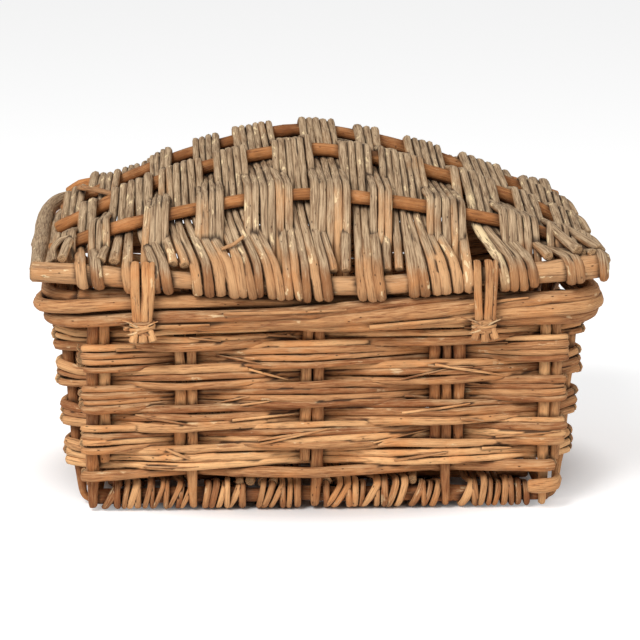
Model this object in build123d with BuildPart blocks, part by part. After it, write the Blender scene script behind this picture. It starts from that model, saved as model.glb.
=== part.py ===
import os
from math import asin, atan2, cos, hypot, radians, sin, tan

from build123d import *

# A willow hamper: a woven box on a base frame, with a domed lid that turns in two willow loops.
# X runs along the length, the hinge side is at -Y, and the feet of the stakes stand on Z = 0.

# Running and weaving clearances
WEAVE_GAP = 0.4
LID_GAP = 0.25
LOOP_GAP = 0.4
SPLICE_GAP = 0.3

# Stakes: the upright rods of the walls
STAKE_DIA = 10.0
STAKE_PITCH = 10.6
CORNER_STAKE_DIA = 11.0
END_STAKE_DIA = 12.0
STAKE_LINE_X = (216.0, 228.0)
STAKE_LINE_Y = (156.0, 168.0)
LEAN_HEIGHT = 172.0
FRONT_GROUPS = ((-202.0, 2), (-116.5, 2), (-4.0, 2), (115.0, 3), (207.0, 2))
CORNER_INSET = 30.0
END_STAKE_Y = 47.0

# Wall rows: the height of each, from the rim down, and how many thin rods it has
ROW_ROD = 6.0
ROW_ROD_PITCH = 6.2
WALL_ROWS = (
    (165.5, 2),
    (149.5, 3),
    (130.5, 3),
    (111.5, 3),
    (92.5, 3),
    (73.5, 3),
    (54.7, 3),
    (39.5, 1),
)

# Rim: four strands laid round one another
RIM_STRANDS = 4
RIM_STRAND_RADIUS = 6.15
RIM_LAY_RADIUS = 9.4
RIM_OUT = 12.0
RIM_MID_HEIGHT = 188.0
RIM_RISE = 0.025
RIM_CORNER = 34.0
RIM_LONG_STEPS = 4
RIM_END_STEPS = 2
RIM_STEP_TURN = 30.0

# Base frame
BASE_ROD_DIA = 12.0
BASE_ROD_Z = 11.8
BASE_ROD_OVERHANG = 4.0
BASE_STICK_Y = (-72.0, 0.0, 72.0)
BASE_WEAVER_THICK = 5.0
BASE_WEAVER_WIDTH = 13.0
BASE_WEAVER_TAIL = 8.0
BASE_GROUP_X = (-170.0, -141.0, -89.0, -56.0, -28.0, 22.0, 56.0, 85.0, 145.0, 173.0)

# Lid frame
HINGE_Y = -188.0
HINGE_Z = 222.0
LID_ROD_RADIUS = 7.5
LID_ROD_ENDS = (-259.5, 259.5)
LID_ROD_SAG = 6.0
LEVEL_FROM = 128.0
LEVEL_TO = 176.0
LID_END_RISE = 4.0
END_ROD_RADIUS = 6.5
END_ROD_X = (251.0, 237.6)
END_ROD_Z = 223.0
FAR_ROD_Y = 190.6
LID_DEPTH = FAR_ROD_Y - HINGE_Y

# Lid ribs: the profile is the share of a rib's rise at each bend, from left to right
RIB_RADIUS = 6.0
RIB_Y = (-141.0, -47.0, 47.0, 141.0)
RIB_PEAK = (290.0, 316.0, 322.0, 290.0)
RIB_FOOT_Z = 236.2
RIB_HALF_SPAN = 250.0
RIB_PROFILE = (0, 0.4, 0.7, 0.91, 1, 0.85, 0.64, 0.38, 0)
RIB_RUN = 2 * RIB_HALF_SPAN / (len(RIB_PROFILE) - 1)

# Lid weavers
LID_WEAVER_THICK = 5.0
LID_WEAVER_SPACE = 0.44
LID_WEAVER_MARGINS = (24.8, 24.96)
LID_WEAVER_TAIL = 5.0
LID_SHORT_TAIL = 14.0
LID_GROUPS = (1, 2, 3, 4, 3, 3, 3, 3, 5, 3, 4, 3, 2, 4, 4, 3, 3, 1, 2, 1)
WRAP_HEADINGS = (radians(135), radians(97))
LID_WEAVER_START = LID_WEAVER_MARGINS[0] - RIB_HALF_SPAN
LID_WEAVER_PITCH = (2 * RIB_HALF_SPAN - sum(LID_WEAVER_MARGINS)) / (sum(LID_GROUPS) - 1)
LID_WEAVER_WIDTH = LID_WEAVER_PITCH - LID_WEAVER_SPACE

# Hinge loops
LOOP_THICK = 4.0
LOOP_STRAND = 9.4
LOOP_STRAND_PITCH = 10.0
LOOP_X = (-160.0, 145.0)
LOOP_ROD_BENDS = (45, 0)
LOOP_RIM_BENDS = (-90, -135, 180, 135)
TIE_THICK = 4.4
TIE_HEIGHT = 6.0
TIE_DROP = 6.0
TAIL_DIA = 6.0
TAIL_LENGTH = 17.0
TAIL_SPLAY = 6.0


def wall_stretch(bottom_top, height):
    return bottom_top[0] + (bottom_top[1] - bottom_top[0]) * height / LEAN_HEIGHT


def rim_centre(x):
    return RIM_MID_HEIGHT + RIM_RISE * min(abs(x), LEVEL_TO)


def lid_rod_height(x):
    reach = abs(x)
    if reach < LEVEL_FROM:
        return HINGE_Z - LID_ROD_SAG * (1 - reach / LEVEL_FROM)
    if reach < LEVEL_TO:
        return HINGE_Z
    return HINGE_Z + LID_END_RISE * (reach - LEVEL_TO) / (LID_ROD_ENDS[1] - LEVEL_TO)


def rib_bend(rib, bend):
    return RIB_FOOT_Z + (RIB_PEAK[rib] - RIB_FOOT_Z) * RIB_PROFILE[bend]


def rib_height(rib, x):
    bend = int((x + RIB_HALF_SPAN) // RIB_RUN)
    share = (x + RIB_HALF_SPAN) / RIB_RUN - bend
    return rib_bend(rib, bend) * (1 - share) + rib_bend(rib, bend + 1) * share


# Lowest and highest point of a rib's centre line across the width of a weaver
def rib_under(rib, x):
    left, right = x - LID_WEAVER_WIDTH / 2, x + LID_WEAVER_WIDTH / 2
    heights = [rib_height(rib, left), rib_height(rib, right)]
    if (left + RIB_HALF_SPAN) // RIB_RUN != (right + RIB_HALF_SPAN) // RIB_RUN:
        heights.append(rib_bend(rib, int((right + RIB_HALF_SPAN) // RIB_RUN)))
    return min(heights), max(heights)


# Lines are kept as a point and a heading. A rod that passes a post runs along a line whose
# signed reach from the post's centre is positive when the rod is on the left of the post.
def passing_line(centre, reach, heading):
    point = (centre[0] - reach * sin(heading), centre[1] + reach * cos(heading))
    return point, heading


def tangent_line(first, second):
    (ax, ay, a_reach), (bx, by, b_reach) = first, second
    span = hypot(bx - ax, by - ay)
    heading = atan2(by - ay, bx - ax) - asin((a_reach - b_reach) / span)
    return passing_line((ax, ay), a_reach, heading)


def crossing(first, second):
    (px, py), a = first
    (qx, qy), b = second
    along = ((qx - px) * sin(b) - (qy - py) * cos(b)) / sin(b - a)
    return px + along * cos(a), py + along * sin(a)


def woven_points(lines, head, tail):
    corners = [crossing(a, b) for a, b in zip(lines, lines[1:])]
    (sx, sy), s = lines[0]
    (ex, ey), e = lines[-1]
    start = (sx - head * cos(s), sy - head * sin(s))
    end = (ex + tail * cos(e), ey + tail * sin(e))
    return [start] + corners + [end]


def wall_posts(height):
    line_x = wall_stretch(STAKE_LINE_X, height)
    line_y = wall_stretch(STAKE_LINE_Y, height)
    reach = STAKE_DIA / 2 + WEAVE_GAP + ROW_ROD / 2
    corner_reach = CORNER_STAKE_DIA / 2 + 2 * WEAVE_GAP + ROW_ROD / 2
    end_reach = END_STAKE_DIA / 2 + WEAVE_GAP + ROW_ROD / 2
    front = []
    for centre, count in FRONT_GROUPS:
        half = STAKE_PITCH * (count - 1) / 2
        front.append([(centre - half, -line_y, reach), (centre + half, -line_y, reach)])
    back = [[(x, -y, r) for x, y, r in reversed(group)] for group in reversed(front)]
    corner_y = line_y - CORNER_INSET
    right_y = ((-corner_y, corner_reach), (-END_STAKE_Y, end_reach))
    right = [[(line_x, y, r)] for y, r in right_y] + [[(line_x, -y, r)] for y, r in reversed(right_y)]
    left = [[(-x, -y, r) for x, y, r in group] for group in right]
    return front, right, back, left


# The four rods that make one turn of the walls, each ending halfway between a corner stake
# and the next stake group, where it meets its neighbour.
def wall_turn(height, first_side):
    walls = wall_posts(height)
    side = first_side
    turn = []
    for number, wall in enumerate(walls):
        for group in wall:
            turn += [(x, y, side * r, number) for x, y, r in group]
            side = -side
    ring = turn + turn[:1]
    lines = [tangent_line(a[:3], b[:3]) for a, b in zip(ring, ring[1:])]
    corners = [crossing(lines[i - 1], lines[i]) for i in range(len(lines))]
    paths = []
    for number in range(len(walls)):
        members = [i for i, post in enumerate(turn) if post[3] == number]
        inside = [corners[i] for i in members]
        before = corners[members[0] - 1]
        after = corners[(members[-1] + 1) % len(corners)]
        paths.append([meeting(before, inside[0])] + inside + [meeting(after, inside[-1])])
    return paths


def meeting(outer, inner):
    dx, dy = outer[0] - inner[0], outer[1] - inner[1]
    span = hypot(dx, dy)
    share = (span / 2 - SPLICE_GAP / 2) / span
    return inner[0] + dx * share, inner[1] + dy * share


def lid_weaver_lines(x, parity, full):
    rod_reach = LID_ROD_RADIUS + LID_GAP + LID_WEAVER_THICK / 2
    rib_reach = RIB_RADIUS + LID_GAP + LID_WEAVER_THICK / 2
    near = (HINGE_Y, lid_rod_height(x), rod_reach)
    far = (FAR_ROD_Y, lid_rod_height(x), rod_reach)
    ribs = []
    for rib, y in enumerate(RIB_Y):
        lowest, highest = rib_under(rib, x)
        if (rib + parity) % 2 == 0:
            ribs.append((y, highest, rib_reach))
        else:
            ribs.append((y, lowest, -rib_reach))
    posts = ([near] if full else []) + ribs + [far]
    lines = [tangent_line(a, b) for a, b in zip(posts, posts[1:])]
    far_wrap = [passing_line(far[:2], rod_reach, -heading) for heading in reversed(WRAP_HEADINGS)]
    if full:
        near_wrap = [passing_line(near[:2], rod_reach, heading) for heading in WRAP_HEADINGS]
        return near_wrap + lines + far_wrap
    return lines + far_wrap


def beside_loop(x):
    reach = LOOP_STRAND_PITCH / 2 + LOOP_STRAND / 2 + LID_WEAVER_WIDTH / 2 + 2 * LOOP_GAP
    return any(abs(x - loop) < reach for loop in LOOP_X)


def save(piece, name):
    piece.label = name
    export_step(piece, "parts/" + name + ".step")


os.makedirs("parts", exist_ok=True)

# Base frame: it lies just inside the stakes, whose flats face the front and the back
stake_flat = STAKE_DIA / 2 * cos(radians(30))
base_rod_y = wall_stretch(STAKE_LINE_Y, BASE_ROD_Z) - stake_flat - BASE_ROD_DIA / 2 - WEAVE_GAP
base_end_x = wall_stretch(STAKE_LINE_X, BASE_ROD_Z) - END_STAKE_DIA / 2 - BASE_ROD_DIA / 2 - WEAVE_GAP
base_rod_length = 2 * (base_end_x + BASE_ROD_OVERHANG)
with BuildPart() as base_long_rods:
    with BuildSketch(Plane.YZ.offset(-base_rod_length / 2)):
        with Locations((-base_rod_y, BASE_ROD_Z), (base_rod_y, BASE_ROD_Z)):
            RegularPolygon(BASE_ROD_DIA / 2, 8)
    extrude(amount=base_rod_length)
save(base_long_rods.part, "base_long_rods")

base_end_length = 2 * (base_rod_y - BASE_ROD_DIA / 2 - WEAVE_GAP)
with BuildPart() as base_end_rods:
    with BuildSketch(Plane.XZ.offset(-base_end_length / 2)):
        with Locations((-base_end_x, BASE_ROD_Z), (base_end_x, BASE_ROD_Z)):
            RegularPolygon(BASE_ROD_DIA / 2, 8)
    extrude(amount=base_end_length)
save(base_end_rods.part, "base_end_rods")

base_stick_length = 2 * (base_end_x - BASE_ROD_DIA / 2 - WEAVE_GAP)
with BuildPart() as base_sticks:
    with BuildSketch(Plane.YZ.offset(-base_stick_length / 2)):
        with Locations(*[(y, BASE_ROD_Z) for y in BASE_STICK_Y]):
            RegularPolygon(BASE_ROD_DIA / 2, 6)
    extrude(amount=base_stick_length)
save(base_sticks.part, "base_sticks")

# Base weavers run from front to back, and neighbouring groups pass the sticks on opposite sides
base_reach = BASE_ROD_DIA / 2 + LID_GAP + BASE_WEAVER_THICK / 2
base_post_y = (-base_rod_y,) + BASE_STICK_Y + (base_rod_y,)
with BuildPart() as base_weavers:
    for group, group_x in enumerate(BASE_GROUP_X):
        posts = []
        for place, post_y in enumerate(base_post_y):
            side = 1 if (place + group) % 2 == 0 else -1
            posts.append((post_y, BASE_ROD_Z, side * base_reach))
        lines = [passing_line(posts[0][:2], posts[0][2], 0)]
        lines += [tangent_line(a, b) for a, b in zip(posts, posts[1:])]
        lines += [passing_line(posts[-1][:2], posts[-1][2], 0)]
        path = woven_points(lines, BASE_WEAVER_TAIL, BASE_WEAVER_TAIL)
        for half in (-1, 1):
            rod_x = group_x + half * (BASE_WEAVER_WIDTH + WEAVE_GAP) / 2
            with BuildSketch(Plane.YZ.offset(rod_x - BASE_WEAVER_WIDTH / 2)):
                with BuildLine():
                    Polyline(*path)
                trace(line_width=BASE_WEAVER_THICK)
            extrude(amount=BASE_WEAVER_WIDTH)
save(base_weavers.part, "base_weavers")


# Stakes lean out from foot to rim and stop just under it
def stake_set(groups, dia):
    with BuildPart() as stakes:
        for foot, lean in groups:
            head_z = rim_centre(foot[0]) - RIM_LAY_RADIUS - RIM_STRAND_RADIUS - LID_GAP
            for z in (0, head_z):
                share = z / LEAN_HEIGHT
                with BuildSketch(Plane.XY.offset(z)):
                    with Locations((foot[0] + lean[0] * share, foot[1] + lean[1] * share)):
                        RegularPolygon(dia / 2, 6)
            loft(ruled=True)
    return stakes.part


foot_x, foot_y = STAKE_LINE_X[0], STAKE_LINE_Y[0]
lean_x, lean_y = STAKE_LINE_X[1] - foot_x, STAKE_LINE_Y[1] - foot_y
for name, sign in (("front_stakes", -1), ("back_stakes", 1)):
    places = []
    for centre, count in FRONT_GROUPS:
        for number in range(count):
            stake_x = centre + STAKE_PITCH * (number - (count - 1) / 2)
            places.append(((stake_x, sign * foot_y), (0, sign * lean_y)))
    save(stake_set(places, STAKE_DIA), name)
for name, sign in (("left_stakes", -1), ("right_stakes", 1)):
    places = [((sign * foot_x, y), (sign * lean_x, 0)) for y in (-END_STAKE_Y, END_STAKE_Y)]
    save(stake_set(places, END_STAKE_DIA), name)
places = []
for i in (-1, 1):
    for j in (-1, 1):
        places.append(((i * foot_x, j * (foot_y - CORNER_INSET)), (i * lean_x, j * lean_y)))
save(stake_set(places, CORNER_STAKE_DIA), "corner_stakes")


# Wall rows: neighbouring rows pass the stakes on opposite sides
def wall_row(rod_heights, first_side):
    with BuildPart() as row:
        for height in rod_heights:
            for path in wall_turn(height, first_side):
                with BuildSketch(Plane.XY.offset(height - ROW_ROD / 2)):
                    with BuildLine():
                        Polyline(*path)
                    trace(line_width=ROW_ROD)
                extrude(amount=ROW_ROD)
    return row.part


row_side = 1
for number, (row_height, count) in enumerate(WALL_ROWS, start=1):
    heights = [row_height + ROW_ROD_PITCH * (rod - (count - 1) / 2) for rod in range(count)]
    save(wall_row(heights, row_side), f"weave_row_{number}")
    row_side = -row_side

# Rim: the strands turn round one another, and those of the long walls carry on across the
# cut corners to meet those of the end walls.
rim_x = STAKE_LINE_X[1] + RIM_OUT
rim_y = STAKE_LINE_Y[1] + RIM_OUT
end_rim_z = rim_centre(rim_x)
MITRE = tan(radians(22.5))
CUT = sin(radians(45))


# One wall's stretch of the rim: from the middle of one cut corner to the middle of the next.
# Points are along the wall, outward from it and up, for a strand that lies off the centre line.
def strand_path(half_length, steps, strand, first_turn, heights):
    points = []
    for step in range(-1, steps + 2):
        within = min(max(step, 0), steps)
        angle = radians(360 * strand / RIM_STRANDS + first_turn + RIM_STEP_TURN * within)
        out, up = RIM_LAY_RADIUS * cos(angle), RIM_LAY_RADIUS * sin(angle)
        along = (half_length - RIM_CORNER) * (2 * within / steps - 1)
        if within in (0, steps):
            along += (1 if within else -1) * out * MITRE
        if within != step:
            side = 1 if step > 0 else -1
            middle = half_length - RIM_CORNER / 2 - SPLICE_GAP / 2
            along, out = side * (middle + out * CUT), -RIM_CORNER / 2 + SPLICE_GAP / 2 + out * CUT
        points.append((along, out, heights[within] + up))
    return points


def rim_wall(half_length, wall_line, steps, first_turn, heights, quarter_turns):
    with BuildPart() as wall:
        for strand in range(RIM_STRANDS):
            path = []
            for along, out, z in strand_path(half_length, steps, strand, first_turn, heights):
                x, y = along, -wall_line - out
                for _ in range(quarter_turns):
                    x, y = -y, x
                path.append((x, y, z))
            with BuildLine() as line:
                Polyline(*path)
            with BuildSketch(Plane(origin=line.line @ 0, z_dir=line.line % 0)):
                RegularPolygon(RIM_STRAND_RADIUS, 6)
            sweep(path=line.line, transition=Transition.RIGHT)
    return wall.part


long_turn = RIM_STEP_TURN * RIM_LONG_STEPS
end_turn = RIM_STEP_TURN * RIM_END_STEPS
long_stations = [2 * step / RIM_LONG_STEPS - 1 for step in range(RIM_LONG_STEPS + 1)]
long_heights = [rim_centre(share * (rim_x - RIM_CORNER)) for share in long_stations]
end_heights = [end_rim_z] * (RIM_END_STEPS + 1)
save(rim_wall(rim_x, rim_y, RIM_LONG_STEPS, 0, long_heights, 0), "front_rim")
save(rim_wall(rim_y, rim_x, RIM_END_STEPS, long_turn, end_heights, 1), "right_rim")
save(rim_wall(rim_x, rim_y, RIM_LONG_STEPS, long_turn + end_turn, long_heights, 2), "back_rim")
save(rim_wall(rim_y, rim_x, RIM_END_STEPS, 2 * long_turn + end_turn, end_heights, 3), "left_rim")


# Hinge loops: each is two strands that run over the lid's near rod and down round the rim
def loop_outline(rim_z, reach):
    rod = (HINGE_Y, HINGE_Z, LID_ROD_RADIUS + LOOP_GAP + reach)
    rim = (-rim_y, rim_z, RIM_LAY_RADIUS + RIM_STRAND_RADIUS + LOOP_GAP + reach)
    lines = [tangent_line(rim, rod)]
    lines += [passing_line(rod[:2], rod[2], radians(heading)) for heading in LOOP_ROD_BENDS]
    lines += [tangent_line(rod, rim)]
    lines += [passing_line(rim[:2], rim[2], radians(heading)) for heading in LOOP_RIM_BENDS]
    return [crossing(a, b) for a, b in zip(lines, lines[1:] + lines[:1])]


def hinge_loop(loop_x):
    rim_z = rim_centre(loop_x)
    with BuildPart() as loop:
        for half in (-1, 1):
            strand_x = loop_x + half * LOOP_STRAND_PITCH / 2
            with BuildSketch(Plane.YZ.offset(strand_x - LOOP_STRAND / 2)):
                with BuildLine():
                    Polyline(*loop_outline(rim_z, LOOP_THICK), close=True)
                make_face()
                with BuildLine():
                    Polyline(*loop_outline(rim_z, 0), close=True)
                make_face(mode=Mode.SUBTRACT)
            extrude(amount=LOOP_STRAND)
    return loop.part


# Each loop is held by a tie round both strands, with two short tails below it
def hinge_tie(loop_x):
    half = LOOP_STRAND_PITCH / 2 + LOOP_STRAND / 2 + LOOP_GAP + TIE_THICK / 2
    rim_face = RIM_LAY_RADIUS + RIM_STRAND_RADIUS + LOOP_GAP
    front_y = -rim_y - rim_face - LOOP_THICK - LID_GAP - TIE_THICK / 2
    back_y = -rim_y - rim_face
    tie_z = rim_centre(loop_x) - TIE_DROP
    with BuildPart() as tie:
        with BuildSketch(Plane.XY.offset(tie_z - TIE_HEIGHT / 2)):
            with BuildLine():
                left, right = loop_x - half, loop_x + half
                Polyline((left, back_y), (left, front_y), (right, front_y), (right, back_y))
            trace(line_width=TIE_THICK)
        extrude(amount=TIE_HEIGHT)
        tail_top = tie_z - TIE_HEIGHT / 2 - LID_GAP
        for end in (-1, 1):
            for drop, spread in ((0, TAIL_SPLAY), (TAIL_LENGTH, 2 * TAIL_SPLAY)):
                with BuildSketch(Plane.XY.offset(tail_top - drop)):
                    with Locations((loop_x + end * spread, front_y)):
                        RegularPolygon(TAIL_DIA / 2, 6)
            loft(ruled=True)
    return tie.part


for name, loop_x in zip(("left", "right"), LOOP_X):
    save(hinge_loop(loop_x), name + "_hinge_loop")
    save(hinge_tie(loop_x), name + "_hinge_tie")


# Lid frame
def lid_long_rod(rod_y):
    bends = (LID_ROD_ENDS[0], -LEVEL_TO, -LEVEL_FROM, 0, LEVEL_FROM, LEVEL_TO, LID_ROD_ENDS[1])
    with BuildPart() as rod:
        for x in bends:
            with BuildSketch(Plane.YZ.offset(x)):
                with Locations((rod_y, lid_rod_height(x))):
                    RegularPolygon(LID_ROD_RADIUS, 8)
        loft(ruled=True)
    return rod.part


save(lid_long_rod(HINGE_Y), "lid_near_rod")
save(lid_long_rod(FAR_ROD_Y), "lid_far_rod")

end_rod_length = LID_DEPTH - 2 * (LID_ROD_RADIUS + LID_GAP)
for name, sign in (("lid_left_end_rods", -1), ("lid_right_end_rods", 1)):
    with BuildPart() as end_rods:
        with BuildSketch(Plane.XZ.offset(-(HINGE_Y + LID_DEPTH / 2 + end_rod_length / 2))):
            with Locations(*[(sign * x, END_ROD_Z) for x in END_ROD_X]):
                RegularPolygon(END_ROD_RADIUS, 8)
        extrude(amount=end_rod_length)
    save(end_rods.part, name)

for rib, rib_y in enumerate(RIB_Y):
    with BuildPart() as lid_rib:
        for bend in range(len(RIB_PROFILE)):
            with BuildSketch(Plane.YZ.offset(RIB_RUN * bend - RIB_HALF_SPAN)):
                with Locations((rib_y, rib_bend(rib, bend))):
                    RegularPolygon(RIB_RADIUS, 6)
        loft(ruled=True)
    save(lid_rib.part, f"lid_rib_{rib + 1}")

# Lid weavers: a group passes the ribs on the opposite sides to its neighbours. Rods that would
# meet a hinge loop start at the first rib instead of hooking over the near rod.
rod_number = 0
for group, count in enumerate(LID_GROUPS):
    with BuildPart() as lid_group:
        for _ in range(count):
            rod_x = LID_WEAVER_START + LID_WEAVER_PITCH * rod_number
            rod_number += 1
            full = not beside_loop(rod_x)
            lines = lid_weaver_lines(rod_x, group % 2, full)
            path = woven_points(lines, LID_WEAVER_TAIL if full else LID_SHORT_TAIL, LID_WEAVER_TAIL)
            with BuildSketch(Plane.YZ.offset(rod_x - LID_WEAVER_WIDTH / 2)):
                with BuildLine():
                    Polyline(*path)
                trace(line_width=LID_WEAVER_THICK)
            extrude(amount=LID_WEAVER_WIDTH)
    save(lid_group.part, f"lid_weavers_{group + 1:02d}")
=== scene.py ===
import math
import random

import bmesh
import bpy
import numpy as np
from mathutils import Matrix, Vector
from mathutils.bvhtree import BVHTree


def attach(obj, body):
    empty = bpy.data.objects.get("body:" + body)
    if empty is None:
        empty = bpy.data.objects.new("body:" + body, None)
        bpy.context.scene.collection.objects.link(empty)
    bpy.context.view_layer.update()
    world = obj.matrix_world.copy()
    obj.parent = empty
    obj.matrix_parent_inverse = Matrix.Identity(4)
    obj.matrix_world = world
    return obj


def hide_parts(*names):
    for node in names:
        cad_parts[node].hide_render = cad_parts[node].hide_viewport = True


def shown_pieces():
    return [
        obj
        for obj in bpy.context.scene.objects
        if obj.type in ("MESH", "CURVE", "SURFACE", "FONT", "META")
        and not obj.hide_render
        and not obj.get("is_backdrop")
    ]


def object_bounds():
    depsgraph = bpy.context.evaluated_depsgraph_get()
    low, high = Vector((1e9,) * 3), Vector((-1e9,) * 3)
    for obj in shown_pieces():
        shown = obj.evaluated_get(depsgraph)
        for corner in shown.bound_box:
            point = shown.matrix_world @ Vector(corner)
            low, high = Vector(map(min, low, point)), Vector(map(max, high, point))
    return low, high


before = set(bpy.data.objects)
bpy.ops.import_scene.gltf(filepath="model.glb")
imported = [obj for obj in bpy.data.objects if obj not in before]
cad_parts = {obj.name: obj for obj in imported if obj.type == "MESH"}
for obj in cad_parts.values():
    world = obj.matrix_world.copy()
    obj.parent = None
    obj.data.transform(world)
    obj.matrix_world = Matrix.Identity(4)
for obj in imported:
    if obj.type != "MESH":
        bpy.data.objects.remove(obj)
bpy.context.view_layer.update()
mm = 0.001  # sizes below are in millimetres, meshes are in metres
dice = random.Random(41)
noise = np.random.default_rng(41)


def deselectAll():
    for thing in bpy.context.selected_objects:
        thing.select_set(False)


# Rods: one blank is modelled for each number of rings, and every rod is a copy laid on its path
blankShape = dict(capInset=0.22, shoulder=0.28)
rodShape = dict(
    straight=9, turn=20, rough=0.05, sides=8, knots=1, grey=0.0, peeled=(0.0,), swellReach=35,
    knotSpacing=110, knotSwell=(0.06, 0.16), knotLength=4.5, facet=0.07, driftReach=50, driftSize=0.8,
)
blanks = {}


def vectorsOf(mesh, field):
    values = np.zeros(len(mesh.vertices) * 3)
    mesh.vertices.foreach_get(field, values)
    return values.reshape(-1, 3)


def modelBlank(rings, sides):
    deselectAll()
    bpy.ops.mesh.primitive_cylinder_add(
        vertices=sides, radius=1, depth=1, end_fill_type="NGON", location=(0, 0, 0)
    )
    blank = bpy.context.object
    bpy.ops.object.mode_set(mode="EDIT")
    bpy.ops.mesh.select_all(action="DESELECT")
    editing = bmesh.from_edit_mesh(blank.data)
    for edge in editing.edges:
        low, high = sorted(v.co.z for v in edge.verts)
        edge.select_set(high - low > 0.5)
    bmesh.update_edit_mesh(blank.data)
    bpy.ops.mesh.subdivide(number_cuts=rings - 2)
    bpy.ops.mesh.select_all(action="DESELECT")
    editing = bmesh.from_edit_mesh(blank.data)
    for face in editing.faces:
        face.select_set(abs(face.normal.z) > 0.9)
    bmesh.update_edit_mesh(blank.data)
    bpy.ops.mesh.inset(thickness=blankShape["capInset"], use_boundary=True)
    bpy.ops.mesh.poke()
    bpy.ops.object.mode_set(mode="OBJECT")
    mesh = blank.data
    corners = vectorsOf(mesh, "co")
    faces = [tuple(face.vertices) for face in mesh.polygons]
    ring = np.rint((corners[:, 2] + 0.5) * (rings - 1)).astype(int)
    cap = np.hypot(corners[:, 0], corners[:, 1]) < 0.95
    bpy.data.objects.remove(blank)
    bpy.data.meshes.remove(mesh)
    return dict(corners=corners, faces=faces, ring=ring, cap=cap)


def blankFor(rings, sides):
    if (rings, sides) not in blanks:
        blanks[rings, sides] = modelBlank(rings, sides)
    return blanks[rings, sides]


def lengthAlong(points):
    steps = np.linalg.norm(np.diff(points, axis=0), axis=1)
    return np.concatenate(([0], np.cumsum(steps)))


def evenly(points, step):
    points = np.array(points, float)
    along = lengthAlong(points)
    stations = np.linspace(0, along[-1], max(3, int(along[-1] / step) + 1))
    return np.stack([np.interp(stations, along, points[:, i]) for i in range(points.shape[1])], 1)


def softened(points, times):
    for _ in range(times):
        inner = (points[:-2] + 2 * points[1:-1] + points[2:]) / 4
        points = np.concatenate((points[:1], inner, points[-1:]))
    return points


def bentRod(points, step, times, axis, wide, **looks):
    return dict(path=softened(evenly(points, step), times), axis=axis, wide=wide, **looks)


# A slow random drift with a new value each reach along the stations
def wander(stations, reach, size):
    count = int(stations[-1] / reach) + 4
    values = noise.normal(0, size, count)
    places = np.arange(count) * reach - reach * noise.random()
    blend = np.interp(stations, places, values)
    return np.convolve(np.pad(blend, 2, mode="edge"), np.ones(5) / 5, mode="valid")


# Rings stand closer together where the path turns
def ringed(points, straight, turn):
    heading = np.diff(points, axis=0)
    heading /= np.linalg.norm(heading, axis=1)[:, None] + 1e-9
    bend = np.arccos(np.clip((heading[1:] * heading[:-1]).sum(1), -1, 1))
    bend = np.concatenate(([0], bend))
    weight = np.linalg.norm(np.diff(points, axis=0), axis=1) / straight + bend / math.radians(turn)
    total = np.concatenate(([0], np.cumsum(weight)))
    rings = max(4, 4 * math.ceil((total[-1] + 2) / 4))
    places = np.linspace(0, total[-1], rings)
    return np.stack([np.interp(places, total, points[:, i]) for i in range(3)], 1)


def profile(values, share):
    return np.interp(share, np.linspace(0, 1, len(values)), values)


def layRod(rod):
    rod = {**rodShape, **rod}
    points = ringed(rod["path"], rod["straight"], rod["turn"])
    rings = len(points)
    along = lengthAlong(points)
    share = along / along[-1]
    blank = blankFor(rings, rod["sides"])
    heading = np.gradient(points, axis=0)
    heading /= np.linalg.norm(heading, axis=1)[:, None]
    wideAxis = np.array(rod["axis"], float)
    wideAxis = wideAxis - (heading @ wideAxis)[:, None] * heading
    wideAxis /= np.linalg.norm(wideAxis, axis=1)[:, None]
    thickAxis = np.cross(heading, wideAxis)
    swell = 1 + wander(along, rod["swellReach"], rod["rough"])
    for _ in range(int(along[-1] / rod["knotSpacing"] * rod["knots"] + dice.random())):
        knot = dice.uniform(0, along[-1])
        height = dice.uniform(*rod["knotSwell"])
        swell += height * np.exp(-(((along - knot) / rod["knotLength"]) ** 2))
    wide = profile(rod["wide"], share) * swell
    thick = profile(rod.get("thick", rod["wide"]), share) * swell
    ring, cap = blank["ring"], blank["cap"]
    x, y = blank["corners"][:, 0], blank["corners"][:, 1]
    drift = (wander(along, rod["driftReach"], rod["driftSize"]) + dice.uniform(0, 6))[ring]
    side = np.arctan2(y, x)
    facet = 1 + rod["facet"] * (np.cos(2 * side + drift) + 0.6 * np.cos(3 * side - drift))
    x, y = x * facet, y * facet
    end = (ring == 0) | (ring == rings - 1)
    shoulder = np.where(end & ~cap, 1.0, 0.0) * np.where(ring == 0, 1, -1)
    place = points[ring] + (heading * thick[:, None])[ring] * (shoulder * blankShape["shoulder"])[:, None]
    turned = place + wideAxis[ring] * (x * wide[ring])[:, None] + thickAxis[ring] * (y * thick[ring])[:, None]
    outward = wideAxis[ring] * x[:, None] + thickAxis[ring] * y[:, None]
    grain = np.stack((x * wide[ring], y * thick[ring], along[ring] + rod["offset"]), 1)
    weather = rod["grey"] * np.clip(0.55 + 0.6 * outward[:, 2], 0, 1)
    if "greyFrom" in rod:
        low, high = rod["greyFrom"]
        weather *= np.clip((turned[:, 2] - low) / (high - low), 0, 1)
    count = len(turned)
    marks = dict(
        weather=weather, tone=np.full(count, rod["tone"]), cutEnd=cap.astype(float),
        peeled=profile(rod["peeled"], share)[ring],
    )
    return turned, blank["faces"], grain, marks


woven = []


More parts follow.
